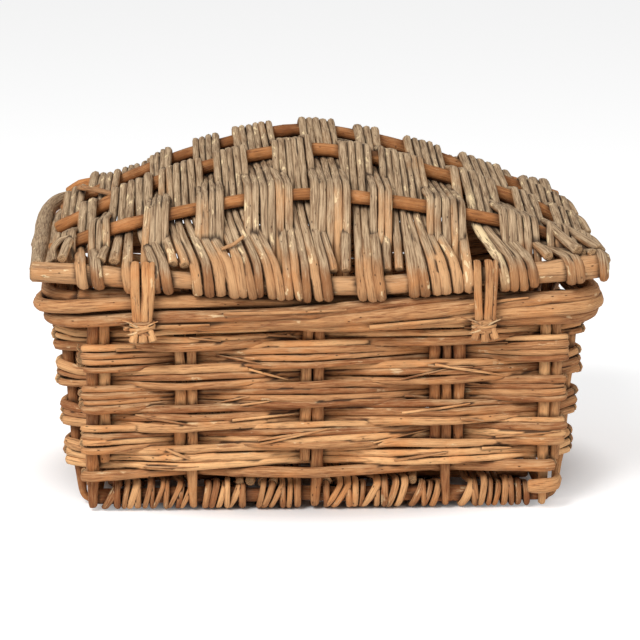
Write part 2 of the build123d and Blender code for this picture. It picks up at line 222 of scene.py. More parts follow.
def makePiece(name, rods, body, nodes, slot):
    corners, faces, grains, marks = [], [], [], []
    start = 0
    for rod in rods:
        rod.setdefault("tone", dice.random())
        rod.setdefault("offset", dice.uniform(0, 900))
        turned, rodFaces, grain, rodMarks = layRod(rod)
        corners.append(turned * mm)
        faces += [tuple(v + start for v in face) for face in rodFaces]
        start += len(turned)
        grains.append(grain)
        marks.append(rodMarks)
    mesh = bpy.data.meshes.new(name)
    mesh.from_pydata(np.concatenate(corners).tolist(), [], faces)
    grainMark = mesh.attributes.new("grain", "FLOAT_VECTOR", "POINT")
    grainMark.data.foreach_set("vector", np.concatenate(grains).ravel())
    for label in marks[0]:
        mark = mesh.attributes.new(label, "FLOAT", "POINT")
        mark.data.foreach_set("value", np.concatenate([rodMarks[label] for rodMarks in marks]))
    mesh.polygons.foreach_set("use_smooth", [len(face) == 4 for face in faces])
    piece = bpy.data.objects.new(name, mesh)
    bpy.context.scene.collection.objects.link(piece)
    outside = bmesh.new()
    outside.from_mesh(mesh)
    bmesh.ops.recalc_face_normals(outside, faces=outside.faces)
    outside.to_mesh(mesh)
    outside.free()
    mesh.materials.append(willows[slot])
    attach(piece, body)
    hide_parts(*nodes)
    woven.append(piece)


# Weaving: a rod runs straight from post to post and bends round each one that it passes.
# A post is two coordinates and a reach, which is above zero where the rod passes on the post's left.
nearlyFull = 1.7 * math.pi
bendStep = math.radians(12)


def headingBetween(first, second):
    (ax, ay, aReach), (bx, by, bReach) = first, second
    span = math.hypot(bx - ax, by - ay)
    return math.atan2(by - ay, bx - ax) - math.asin((aReach - bReach) / span)


def besidePost(post, heading):
    return post[0] - post[2] * math.sin(heading), post[1] + post[2] * math.cos(heading)


def weave(posts, closed=False, first=None, last=None, head=0, tail=0):
    pairs = zip(posts, posts[1:] + posts[:1]) if closed else zip(posts, posts[1:])
    headings = [headingBetween(a, b) for a, b in pairs]
    path = []
    for i, post in enumerate(posts):
        into = headings[i - 1] if closed or i > 0 else first
        out = headings[i] if i < len(headings) else last
        into = out if into is None else into
        out = into if out is None else out
        turn = out - into
        if closed or 0 < i < len(posts) - 1:
            sign = -1 if post[2] > 0 else 1
            turn = sign * ((sign * turn) % (2 * math.pi))
            if abs(turn) > nearlyFull:  # the rod clears this post
                turn -= sign * 2 * math.pi
        if turn * post[2] > 0:
            path.append(besidePost(post, into + turn / 2))
            continue
        steps = max(1, math.ceil(abs(turn) / bendStep))
        if i == 0 and head:
            x, y = besidePost(post, into)
            path.append((x - head * math.cos(into), y - head * math.sin(into)))
        path += [besidePost(post, into + turn * step / steps) for step in range(steps + 1)]
        if i == len(posts) - 1 and tail and not closed:
            x, y = besidePost(post, out)
            path.append((x + tail * math.cos(out), y + tail * math.sin(out)))
    if closed:
        path.append(path[0])
    return np.array(path)


# Materials
def colour(red, green, blue):
    return tuple((c / 255) ** 2.2 for c in (red, green, blue)) + (1.0,)


class Wire:
    def __init__(self, paint, socket):
        self.paint, self.socket = paint, socket

    def maths(self, operation, first, second=0.0):
        return self.paint.node("ShaderNodeMath", {"operation": operation}, {0: first, 1: second})

    def __add__(self, other):
        return self.maths("ADD", self, other)

    def __sub__(self, other):
        return self.maths("SUBTRACT", self, other)

    def __mul__(self, other):
        return self.maths("MULTIPLY", self, other)

    def __rsub__(self, other):
        return self.maths("SUBTRACT", other, self)

    __radd__ = __add__
    __rmul__ = __mul__

    def between(self, low, high):
        settings = {"interpolation_type": "SMOOTHSTEP"}
        return self.paint.node("ShaderNodeMapRange", settings, {"Value": self, 1: low, 2: high})


class Paint:
    def __init__(self, owner):
        self.owner = owner
        owner.use_nodes = True
        self.tree = owner.node_tree
        self.tree.nodes.clear()

    def node(self, kind, settings=None, sockets=None, output=0):
        made = self.tree.nodes.new(kind)
        for key, value in (settings or {}).items():
            setattr(made, key, value)
        for key, value in (sockets or {}).items():
            if isinstance(value, Wire):
                self.tree.links.new(value.socket, made.inputs[key])
            else:
                made.inputs[key].default_value = value
        return Wire(self, made.outputs[output]) if made.outputs else None

    def read(self, name, output=2):
        return self.node("ShaderNodeAttribute", {"attribute_name": name}, output=output)

    def stretch(self, vector, x, y, z):
        return self.node("ShaderNodeMapping", {}, {"Vector": vector, "Scale": (x, y, z)})

    def cloud(self, vector, size, detail=3.0, rough=0.55):
        sockets = {"Vector": vector, "Scale": size, "Detail": detail, "Roughness": rough}
        return self.node("ShaderNodeTexNoise", {}, sockets)

    def mix(self, share, first, second):
        return self.node("ShaderNodeMix", {"data_type": "RGBA"}, {0: share, 6: first, 7: second}, output=2)

    def finish(self, **sockets):
        names = dict(base="Base Color", rough="Roughness", normal="Normal", gloss="Specular IOR Level")
        shader = self.node("ShaderNodeBsdfPrincipled", {}, {names[k]: v for k, v in sockets.items()})
        self.node("ShaderNodeOutputMaterial", {}, {"Surface": shader})
        return self.owner


# Bark and wood with streaks along the grain, grey weather on top, peeled patches, pits, and painted shade in
# the crevices that also stands for dirt
def willow(name, look):
    paint = Paint(bpy.data.materials.new(name))
    grain = paint.read("grain", output=1)
    marks = ("weather", "tone", "cutEnd", "peeled", "shadeAndDirt")
    weather, tone, cutEnd, peeled, shadeAndDirt = (paint.read(mark) for mark in marks)
    place = paint.node("ShaderNodeTexCoord", output=3)
    streaks = paint.cloud(paint.stretch(grain, 0.5, 0.5, 0.03), 1.7, 5.0, 0.64)
    fine = paint.cloud(paint.stretch(grain, 1.5, 1.5, 0.07), 2.2, 3.0, 0.6)
    patches = paint.cloud(place, 24.0, 4.0)
    blotches = paint.cloud(paint.stretch(grain, 0.13, 0.13, 0.045), 1.0, 4.0, 0.6)
    bark = paint.cloud(paint.stretch(grain, 0.2, 0.2, 0.02), 1.3, 4.0, 0.6)
    grey = weather * 1.2 + (patches - 0.5) * 1.3 + (streaks - 0.5) * 0.6 - tone * 0.55 + 0.15
    greyTone = paint.mix(streaks.between(0.36, 0.66), look["greyDark"], look["greyLight"])
    pale = fine.between(0.56, 0.72) * (blotches.between(0.4, 0.6) * 0.6 + 0.25)
    lines = 1 - streaks.between(0.33, 0.44)
    thinLines = 1 - fine.between(0.3, 0.4)
    bare = blotches.between(0.63, 0.68) * (streaks.between(0.32, 0.5) * 0.8 + 0.2)
    bare = (bare * look["bare"] + peeled * (blotches + streaks * 0.6).between(0.72, 0.84)).between(0.0, 1.0)
    pits = paint.stretch(grain, 0.2, 0.2, 0.085)
    spots = paint.node("ShaderNodeTexVoronoi", {}, {"Vector": pits, "Scale": 1.0})
    spot = (1 - spots.between(0.05, 0.14)) * patches.between(0.38, 0.5)
    rings = paint.cloud(paint.stretch(grain, 1.1, 1.1, 0.0), 0.9, 2.0)
    ends = paint.mix(rings.between(0.35, 0.65), look["endDark"], look["endLight"])
    # painted shade: the colour darkens where the rods are closed in by others, where shade falls, and this
    # also stands for dirt
    shadeAndDirtLevel = (shadeAndDirt * 1.35 + (patches - 0.5) * 0.4 - 0.12).between(0.05, 0.85)
    layers = (
        (patches.between(0.44, 0.68) * 0.65, look["warm"]), (bark.between(0.55, 0.66) * 0.6, look["bark"]),
        (grey.between(0.25, 0.85) * look["greying"], greyTone), (pale * 0.5, look["pale"]),
        (lines * 0.45, look["groove"]), (thinLines * 0.4, look["groove"]), (bare, look["pale"]),
        (spot * 0.85, look["groove"]), (cutEnd * 0.85, ends), (shadeAndDirtLevel * look["shadeAndDirtLevel"], look["shadeAndDirtTone"]),
    )
    body = paint.mix((tone * 0.75 + streaks * 1.1 - 0.42).between(0.0, 1.0), look["dark"], look["light"])
    for share, tint in layers:
        body = paint.mix(share, body, tint)
    rough = 0.6 + streaks * 0.28
    height = streaks * 0.75 + fine * 0.35 + bark * 0.3 - spot * 0.8
    bump = paint.node("ShaderNodeBump", {}, {"Height": height, "Distance": 0.0013, "Strength": 0.75})
    return paint.finish(base=body, rough=rough, normal=bump, gloss=0.3)


# the last dark tone and its strength in each look are the painted crevice shade, which also stands for dirt
bodyLook = dict(
    dark=colour(138, 82, 46), light=colour(232, 176, 120), warm=colour(206, 134, 78),
    bark=colour(128, 74, 42), greyDark=colour(142, 110, 78), greyLight=colour(208, 174, 132),
    groove=colour(64, 36, 20), pale=colour(244, 216, 168), endDark=colour(104, 74, 48),
    endLight=colour(192, 156, 114), shadeAndDirtTone=colour(38, 22, 14), bare=0.5, greying=0.75, shadeAndDirtLevel=0.84,
)
lidLook = dict(
    bodyLook, dark=colour(142, 94, 58), light=colour(214, 164, 116), warm=colour(198, 134, 82),
    bark=colour(122, 84, 56), greyDark=colour(134, 108, 82), greyLight=colour(206, 179, 144),
    groove=colour(66, 46, 32), bare=0.75, greying=0.9,
)
rowLook = dict(
    bodyLook, dark=colour(144, 86, 48), light=colour(244, 188, 130), warm=colour(214, 140, 82), shadeAndDirtLevel=0.88,
)
ribLook = dict(
    bodyLook, dark=colour(134, 82, 44), light=colour(204, 142, 86), bare=0.15, greying=0.6, shadeAndDirtLevel=0.7,
)

willows = {
    "base_willow": willow("baseWillow", dict(bodyLook, shadeAndDirtLevel=0.9)),
    "stake_willow": willow("stakeWillow", dict(bodyLook, bare=0.2)),
    "row_willow": willow("rowWillow", rowLook),
    "rim_willow": willow("rimWillow", bodyLook),
    "loop_willow": willow("loopWillow", bodyLook),
    "lid_rod_willow": willow("lidRodWillow", lidLook),
    "rib_willow": willow("ribWillow", ribLook),
    "lid_willow": willow("lidWillow", lidLook),
}
print("stage: materials")

# Stakes: each group has its places at the top, and one stake of it goes on down to the foot
stakes = dict(
    lineX=(216.0, 228.0), lineY=(156.0, 168.0), leanHeight=172.0, radius=5.3, pitch=10.4, stop=48.0,
    groups=(
        dict(top=(-203.0, -192.5), foot=-206.0, long=0),
        dict(top=(-126.0, -115.5), foot=-115.0, long=1),
        dict(top=(-11.0, -0.5), foot=-5.0, long=1),
        dict(top=(101.5, 112.0, 122.5), foot=114.0, long=1),
        dict(top=(200.5, 211.0), foot=202.0, long=0),
    ),
    cornerInset=30.0, cornerRadius=5.6, endY=47.0, endRadius=6.1,
    footSteps=((9, 4.1), (3, 4.3), (-0.3, 8.6)), footTop=18, belowRim=12, swayX=0.5, swayY=0.2,
)


def wallLine(bottomTop, height):
    return bottomTop[0] + (bottomTop[1] - bottomTop[0]) * height / stakes["leanHeight"]


def wallLines(height):
    return wallLine(stakes["lineX"], height), wallLine(stakes["lineY"], height)


def stakeFoot(group, number):
    return group["foot"] + stakes["pitch"] * (number - group["long"])


def groupPlaces(group, height):
    places = []
    for number, top in enumerate(group["top"]):
        if number == group["long"] or height > stakes["stop"]:
            places.append(wallLine((stakeFoot(group, number), top), height))
    return places


rim = dict(
    x=240.0, y=180.0, midHeight=188.0, rise=0.027, level=176.0, corner=38.0, layRadius=9.5, turns=2,
    lead=4.8, bulge=4.0, sizes=(7.6, 5.9, 7.0, 5.6, 6.4), starts=(0.742, 0.31, 0.55, 0.12, 0.9),
    tones=(0.3, 0.55, 0.42, 0.2, 0.48), taper=(1.12, 1.0, 0.95, 1.04, 0.92, 0.84),
    splints=(  # start and span as shares of the ring, rise, reach outwards and radius
        (0.765, 0.05, -13, 10, 2.2), (0.82, 0.07, 3, 16, 1.6), (0.9, 0.05, -9, 14, 1.9),
        (0.955, 0.035, 8, 13, 1.5), (0.3, 0.06, -6, 15, 1.8),
    ),
)


def rimCentre(x):
    return rim["midHeight"] + rim["rise"] * min(abs(x), rim["level"])


def stakeRod(bottom, top, radius, inward, longOne=True):
    inX, inY = inward
    points = []
    lowest = stakes["stop"]
    if longOne:
        points += [(bottom[0] + inX * inset, bottom[1] + inY * inset, z) for inset, z in stakes["footSteps"]]
        lowest = stakes["footTop"]
    for z in np.linspace(lowest, rimCentre(bottom[0]) - stakes["belowRim"], 12):
        x, y = (low + (high - low) * (z / stakes["leanHeight"]) for low, high in zip(bottom, top))
        points.append((x + dice.gauss(0, stakes["swayX"]), y + dice.gauss(0, stakes["swayY"]), z))
    size = radius * dice.uniform(0.92, 1.08)
    foot = 0.62 if longOne else 0.85
    axis = (1, 0, 0) if inX == 0 else (0, 1, 0)
    wide = (foot * size, size, size, 0.96 * size, 0.9 * size)
    thick = (0.8 * foot * size, 0.95 * size, 0.98 * size, 0.95 * size, 0.9 * size)
    return bentRod(points, 2.0, 12, axis, wide, thick=thick, grey=0.15, straight=11)


for name, node, sign in (("frontStakes", "front_stakes", -1), ("backStakes", "back_stakes", 1)):
    rods = []
    footY, topY = (sign * y for y in stakes["lineY"])
    for group in stakes["groups"]:
        for number, top in enumerate(group["top"]):
            foot = (stakeFoot(group, number), footY)
            longOne = number == group["long"]
            rods.append(stakeRod(foot, (top, topY), stakes["radius"], (0, -sign), longOne))
    makePiece(name, rods, "basket", [node], "stake_willow")
for name, node, sign in (("leftStakes", "left_stakes", -1), ("rightStakes", "right_stakes", 1)):
    footX, topX = (sign * x for x in stakes["lineX"])
    rods = [
        stakeRod((footX, y), (topX, y), stakes["endRadius"], (-sign, 0))
        for y in (-stakes["endY"], stakes["endY"])
    ]
    makePiece(name, rods, "basket", [node], "stake_willow")
rods = []
for i in (-1, 1):
    for j in (-1, 1):
        foot = (i * stakes["lineX"][0], j * (stakes["lineY"][0] - stakes["cornerInset"]))
        top = (i * stakes["lineX"][1], j * (stakes["lineY"][1] - stakes["cornerInset"]))
        rods.append(stakeRod(foot, top, stakes["cornerRadius"], (-i, 0)))
makePiece("cornerStakes", rods, "basket", ["corner_stakes"], "stake_willow")
print("stage: stakes")

# Wall rows: each rod runs along one wall and ends in a butt at the corner
rows = dict(
    heights=(166.0, 149.5, 130.5, 111.5, 92.5, 73.5, 54.7), counts=(3, 4, 3, 4, 3, 4, 3), foot=39.5,
    footRadius=5.4, radius=4.15, pitch=7.1, bulge=0.8, dip=-1.0, rise=(2.6, 4.6), riseHeights=(40, 170),
    wanderUp=0.8, butt=10.0, hidden=14.0, twigs=4, twigRadius=1.2, taper=(1.14, 1.04, 1.0, 0.94, 0.86),
    step=1.5, soft=22, overlap=79, outReach=8,
)


def wallPosts(height, rodRadius):
    lineX, lineY = wallLines(height)
    reach = stakes["radius"] + rodRadius + 0.1
    cornerReach = stakes["cornerRadius"] + rodRadius + 0.3
    endReach = stakes["endRadius"] + rodRadius
    front = []
    for group in stakes["groups"]:
        places = groupPlaces(group, height)
        front.append([(places[0], -lineY, reach), (places[-1] + 0.1, -lineY, reach)])
    back = [[(x, -y, r) for x, y, r in reversed(group)] for group in reversed(front)]
    cornerY = lineY - stakes["cornerInset"]
    side = ((-cornerY, cornerReach), (-stakes["endY"], endReach))
    right = [[(lineX, y, r)] for y, r in side] + [[(lineX, -y, r)] for y, r in reversed(side)]
    left = [[(-x, -y, r) for x, y, r in group] for group in right]
    return front + right + back + left


# One full turn of the walls, and how far out from the stakes it runs: 1 outside, -1 inside
def wallRing(height, side, radius):
    posts = []
    for group in wallPosts(height, radius):
        posts += [(x, y, side * r) for x, y, r in group]
        side = -side
    ring = evenly(weave(posts, closed=True), rows["step"])
    overlap = rows["overlap"]
    ring = np.concatenate((ring[-overlap - 1:-1], ring, ring[1:overlap + 1]))
    ring = softened(ring, rows["soft"])[overlap:-overlap]
    lineX, lineY = wallLines(height)
    out = np.maximum(np.abs(ring[:, 0]) - lineX, np.abs(ring[:, 1]) - lineY) / rows["outReach"]
    return ring[:-1], np.clip(out, -1, 1)[:-1]


# Where the rods of one wall end: past the last stakes if they run outside, else at the corner stake
def wallCuts(ring, height, outside):
    lineX, lineY = wallLines(height)
    firstX = groupPlaces(stakes["groups"][0], height)[0] - stakes["radius"] - rows["butt"]
    lastX = groupPlaces(stakes["groups"][-1], height)[-1] + stakes["radius"] + rows["butt"]
    targets = []
    for x, y in ((firstX, -1), (lastX, -1), (lastX, 1), (firstX, 1)):
        if outside:
            targets.append((x, y * (lineY + 7)))
        else:
            targets.append((math.copysign(lineX + 9, x), y * (lineY - stakes["cornerInset"] + 4)))
    return [int(np.argmin(np.hypot(ring[:, 0] - x, ring[:, 1] - y))) for x, y in targets]


def stretchOf(values, start, stop):
    count = len(values)
    picks = np.arange(start, stop if stop > start else stop + count) % count
    return values[picks]


def rowRods(height, count, side, radius, twigs):
    rods = []
    ring, out = wallRing(height, side, radius)
    outside = side < 0
    cuts = wallCuts(ring, height, outside)
    lineX = wallLines(height)[0]
    rise = np.interp(height, rows["riseHeights"], rows["rise"])
    for wall in range(4):
        long = wall in (0, 2)
        for number in range(count):
            trim = 0 if long or not outside else rows["hidden"]
            start = cuts[wall] + int((trim + dice.uniform(-3, 3)) / rows["step"])
            stop = cuts[(wall + 1) % 4] - int((trim + dice.uniform(-3, 3)) / rows["step"])
            points = stretchOf(ring, start, stop)
            outs = stretchOf(out, start, stop)
            along = lengthAlong(points)
            spread = (number - (count - 1) / 2) * (rows["pitch"] + rows["bulge"] * outs) * min(1, 3.2 / count)
            z = height + spread - rows["dip"] * outs + rise * points[:, 0] / lineX
            z = z + wander(along, 55, rows["wanderUp"])
            size = radius * dice.uniform(0.84, 1.1) * min(1, 3.5 / count)
            taper = rows["taper"] if dice.random() < 0.5 else rows["taper"][::-1]
            wide = [size * share for share in taper]
            depth = wander(along, 40, 0.5)
            away = points - points.mean(0)
            away /= np.linalg.norm(away, axis=1)[:, None] + 1e-9
            rods.append(dict(
                path=np.column_stack((points + away * depth[:, None], z)), axis=(0, 0, 1), wide=wide,
                thick=[w * 0.98 for w in wide], grey=0.4, straight=8, rough=0.07,
            ))
        for _ in range(twigs if long else 0):
            start = cuts[wall] + dice.randrange(10, 270)
            points = stretchOf(ring, start, start + dice.randrange(14, 46))
            outs = stretchOf(out, start, start + len(points))
            lift = np.linspace(dice.uniform(-9, 9), dice.uniform(-9, 9), len(points))
            across = np.where(np.abs(points[:, 1]) > 100, np.sign(points[:, 1]), 0)
            points[:, 1] += across * (radius * 0.9 + dice.uniform(0, 0.9))
            z = height + lift - rows["dip"] * outs + rise * points[:, 0] / lineX
            size = rows["twigRadius"] * dice.uniform(0.7, 1.3)
            rods.append(dict(
                path=np.column_stack((points, z)), axis=(0, 0, 1), wide=(size, size, size * 0.5), grey=0.5,
                straight=8, knots=0,
            ))
    return rods


rowSide = 1
for number, (height, count) in enumerate(zip(rows["heights"], rows["counts"]), start=1):
    rods = rowRods(height, count, rowSide, rows["radius"], rows["twigs"])
    makePiece(f"weaveRow{number}", rods, "basket", [f"weave_row_{number}"], "row_willow")
    rowSide = -rowSide
rods = rowRods(rows["foot"], 1, rowSide, rows["footRadius"], 0)
makePiece("weaveRow8", rods, "basket", ["weave_row_8"], "row_willow")
print("stage: wall rows")


# Rim: strands laid round one another on a ring with rounded corners, which bulge at the bends
def rimRing():
    corners = []
    r = rim["corner"]
    for sx, sy, start in ((1, -1, -90), (1, 1, 0), (-1, 1, 90), (-1, -1, 180)):
        cx, cy = sx * (rim["x"] - r), sy * (rim["y"] - r)
        for step in range(10):
            angle = math.radians(start + 10 * step)
            corners.append((cx + r * math.cos(angle), cy + r * math.sin(angle)))
    corners.append(corners[0])
    return evenly(corners, 4.0)


# A wander that comes back to where it began, for strands that meet themselves
def closedWander(stations, reach, size):
    drift = wander(stations, reach, size)
    return drift - (drift[-1] - drift[0]) * stations / stations[-1]


ring = rimRing()
ringLength = lengthAlong(ring)
tangent = np.gradient(np.concatenate((ring[-2:-1], ring, ring[1:2])), axis=0)[1:-1]
tangent /= np.linalg.norm(tangent, axis=1)[:, None]
outward = np.column_stack((tangent[:, 1], -tangent[:, 0]))
atCorner = np.clip(1.6 * np.minimum(np.abs(tangent[:, 0]), np.abs(tangent[:, 1])), 0, 1)
ringShare = ringLength / ringLength[-1]
rods = []
for strand, size in enumerate(rim["sizes"]):
    angle = 2 * math.pi * (strand / len(rim["sizes"]) + rim["turns"] * ringShare) + rim["lead"]
    angle = angle + closedWander(ringLength, 90, 0.12)
    bulge = rim["bulge"] * atCorner * dice.uniform(0, 1)
    out = rim["layRadius"] * np.cos(angle) * (1 + 0.15 * atCorner) + bulge
    lift = rim["layRadius"] * np.sin(angle) + closedWander(ringLength, 60, 0.7)
    z = np.array([rimCentre(x) for x in ring[:, 0]]) + lift
    path = np.column_stack((ring + outward * (out + closedWander(ringLength, 60, 0.5))[:, None], z))
    start = int(len(path) * rim["starts"][strand])
    path = np.concatenate((path[start:-1], path[: start + 2]))
    rods.append(dict(
        path=softened(path, 3), axis=(0, 0, 1), wide=[size * share for share in rim["taper"]], grey=0.5,
        straight=8, sides=10, rough=0.06, tone=rim["tones"][strand],
    ))
for start, span, rise, away, size in rim["splints"]:
    picks = slice(int(start * len(ring)), int((start + span) * len(ring)))
    points = ring[picks] + outward[picks] * away
    z = np.array([rimCentre(x) for x in points[:, 0]]) + rise + np.linspace(-2, 3, len(points))
    rods.append(dict(
        path=np.column_stack((points, z)), axis=(0, 0, 1), wide=(size, size, size * 0.5), grey=0.5, knots=0,
    ))
makePiece("rim", rods, "basket", ["front_rim", "right_rim", "back_rim", "left_rim"], "rim_willow")
print("stage: rim")

# Base frame and the strands that are woven from front to back over it
base = dict(
    rodRadius=6.9, z=12.5, y=146.1, x=204.4, overhang=4.0, sway=0.6, endReach=139, endRadius=6.0,
    stickY=(-72.0, 0.0, 72.0), stickReach=198, stickRadius=5.8, stickSway=0.4, thick=2.5, gap=0.2, hook=4,
    groups=(
        (-194, -161, 5), (-161, -118, 7), (-107, -67, 6), (-57, -17, 6), (3, 41, 6), (42, 76, 5),
        (84, 108, 4), (130, 164, 5), (165, 190, 4),
    ),
    butts=(-207.0, -73.0, -64.0, -53.0, -43.0, 6.0, 84.0), buttEnds=(-148, -108), buttHeight=24.5,
    buttRadius=4.4, wrap=205,
    knob=((216, -150, 27), (212, -165, 25), (200, -168, 24), (187, -166, 24)),
)


def straightRod(start, end, radius, sway, axis=(0, 0, 1)):
    points = np.linspace(start, end, 12)
    points[1:-1] += noise.normal(0, sway, (10, 3))
    return bentRod(points, 3.0, 10, axis, (radius,) * 2, grey=0.1, straight=12)


z, half, end, stick = base["z"], base["x"] + base["overhang"], base["endReach"], base["stickReach"]
radius, sway = base["rodRadius"], base["sway"]
rods = [straightRod((-half, y, z), (half, y, z), radius, sway) for y in (-base["y"], base["y"])]
makePiece("baseLongRods", rods, "basket", ["base_long_rods"], "base_willow")
rods = [straightRod((x, -end, z), (x, end, z), base["endRadius"], sway) for x in (-base["x"], base["x"])]
makePiece("baseEndRods", rods, "basket", ["base_end_rods"], "base_willow")
radius, sway = base["stickRadius"], base["stickSway"]
rods = [straightRod((-stick, y, z), (stick, y, z), radius, sway) for y in base["stickY"]]
makePiece("baseSticks", rods, "basket", ["base_sticks"], "base_willow")

rods = []
postY = (-base["y"],) + base["stickY"] + (base["y"],)
for group, (left, right, count) in enumerate(base["groups"]):
    step = (right - left) / count
    for strand in range(count):
        x = left + step * (strand + 0.5) + dice.uniform(-1.2, 1.2)
        high = dice.uniform(0, 5)
        posts = []
        for number, y in enumerate(postY):
            outer = number in (0, 4)
            side = 1 if outer or (number + group) % 2 == 0 else -1
            lift = high if outer else 0
            reach = base["rodRadius"] + base["thick"] + base["gap"] + lift * 0.6
            posts.append((y, base["z"] + lift * 0.6, side * reach))
        wrap = math.radians(base["wrap"])
        path = evenly(weave(posts, first=wrap, last=-wrap, head=base["hook"], tail=base["hook"]), 1.5)
        path = softened(path, 4)
        lean = dice.uniform(-2, 12)
        leaning = np.interp(np.abs(path[:, 0]), (130, 145), (0, 0.6))
        slant = lean * np.interp(path[:, 1], (2, 24), (-1, 1)) * leaning
        wide = step * dice.uniform(0.46, 0.62)
        rods.append(dict(
            path=np.column_stack((x + slant, path)), axis=(1, 0, 0),
            wide=(wide * 0.8, wide, wide, wide * 0.8), thick=(base["thick"],) * 2, grey=0.35,
            straight=11, turn=22, rough=0.08,
        ))
nearY, farY = base["buttEnds"]
for x in base["butts"]:
    z = base["buttHeight"] + dice.uniform(-1.5, 1.5)
    lean = dice.uniform(-8, 8)
    near = (x, nearY - dice.uniform(0, 3), z)
    rods.append(straightRod(near, (x + lean, farY, z + 3), base["buttRadius"], 0.1, axis=(1, 0, 0)))
rods.append(bentRod(
    base["knob"], 2.0, 8, (0, 0, 1), (5.4, 6.2, 6.6, 5.4), thick=(5, 5.4, 5.4, 4.6), grey=0.4, tone=0.7
))
makePiece("baseWeavers", rods, "basket", ["base_weavers"], "base_willow")
print("stage: base")

# Lid frame: a rod at the front and the back, two bent rods at each end, and four arched ribs
hinge = dict(y=-188.0, z=222.0)
lidRod = dict(
    radius=8.2, farRadius=7.5, farY=190.6, nearEnds=(-255.0, 251.5), farEnds=(-238.0, 246.0),
    nearWide=(1.2, 1.02, 1, 1, 1.02, 1.38), nearThick=(1.1, 1, 1, 1, 1.2), flare=5, flareX=225, flareOver=27,
    places=(-255, -200, -172, -142, -107, -19, 55, 108, 128, 160, 190, 236, 252),
    heights=(229, 225.5, 222.5, 222, 219.5, 214.5, 214, 219.5, 222, 222, 225, 229.5, 232),
)
ribs = dict(
    radius=6.1, y=(-141.0, -47.0, 47.0, 141.0), peak=(290.0, 316.0, 322.0, 291.0), foot=236.2,
    halfSpan=250.0, rise=(0, 0.4, 0.7, 0.91, 1, 0.85, 0.64, 0.38, 0), left=-241.0, right=248.0,
    shoulder=(0.0, 0.0, 4.0, 10.0), shoulderX=-226.0, shoulderReach=15,
)


def lidRodHeight(x):
    return float(np.interp(x, lidRod["places"], lidRod["heights"]))


ribStations = np.linspace(-ribs["halfSpan"], ribs["halfSpan"], 201)
ribRise = softened(np.interp(
    ribStations, np.linspace(-ribs["halfSpan"], ribs["halfSpan"], len(ribs["rise"])), ribs["rise"]
)[:, None], 60)[:, 0]


def ribHeight(rib, x):
    rise = float(np.interp(x, ribStations, ribRise))
    shoulder = ribs["shoulder"][rib] * math.exp(-(((x - ribs["shoulderX"]) / ribs["shoulderReach"]) ** 2))
    return ribs["foot"] + (ribs["peak"][rib] - ribs["foot"]) * rise + shoulder


def lidBar(y, ends, radius, wide=(1, 1), thick=(1, 1), flare=0):
    xs = np.linspace(*ends, 40)
    path = np.array([(x, y, lidRodHeight(x)) for x in xs])
    path[:, 1] += flare * np.clip((xs - lidRod["flareX"]) / lidRod["flareOver"], 0, 1) ** 2
    wide, thick = ([radius * share for share in shares] for shares in (wide, thick))
    return bentRod(
        path, 4.0, 10, (0, 0, 1), wide, thick=thick, grey=0.55, straight=9, sides=12, rough=0.045, tone=0.75
    )


rods = [lidBar(
    hinge["y"], lidRod["nearEnds"], lidRod["radius"], lidRod["nearWide"], lidRod["nearThick"], lidRod["flare"]
)]
makePiece("lidNearRod", rods, "lid", ["lid_near_rod"], "lid_rod_willow")
rods = [lidBar(lidRod["farY"], lidRod["farEnds"], lidRod["farRadius"])]
makePiece("lidFarRod", rods, "lid", ["lid_far_rod"], "lid_rod_willow")

endRods = dict(
    radii=(7.6, 6.6),
    left=((
        (-249, -182, 230), (-253, -90, 229), (-259, 50, 230), (-260, 130, 231), (-251, 168, 233),
        (-226, 184, 235), (-200, 185, 236),
    ), (
        (-239, -176, 228), (-242, -90, 226), (-246, 30, 227), (-246, 90, 229), (-238, 128, 233),
        (-216, 142, 240),
    )),
    right=((
        (246, -184, 236), (251, -168, 231), (251, -90, 225), (251, 110, 224), (248, 152, 226),
        (234, 177, 228),
    ), ((230, -176, 232), (238, -158, 227), (238, -80, 224), (238, 176, 224))),
)
for side in ("left", "right"):
    rods = []
    for points, radius in zip(endRods[side], endRods["radii"]):
        rods.append(bentRod(
            points, 3.0, 30, (0, 0, 1), (radius * 1.1, radius, radius, radius * 0.9),
            thick=(radius * 1.05, radius, radius, radius * 0.9), grey=1.0, straight=9, sides=10, rough=0.06,
        ))
    makePiece(f"lid{side.capitalize()}EndRods", rods, "lid", [f"lid_{side}_end_rods"], "lid_rod_willow")
for rib, y in enumerate(ribs["y"]):
    xs = np.linspace(ribs["left"], ribs["right"], 60)
    path = np.array([(x, y, ribHeight(rib, x)) for x in xs])
    path[:, 1:] += np.column_stack((wander(xs - xs[0], 70, 0.8), wander(xs - xs[0], 70, 0.5)))
    rods = [dict(
        path=softened(path, 3), axis=(0, 1, 0), wide=(ribs["radius"],) * 2, grey=0.25, straight=10, sides=10,
        rough=0.06,
    )]
    makePiece(f"lidRib{rib + 1}", rods, "lid", [f"lid_rib_{rib + 1}"], "rib_willow")
print("stage: lid frame")

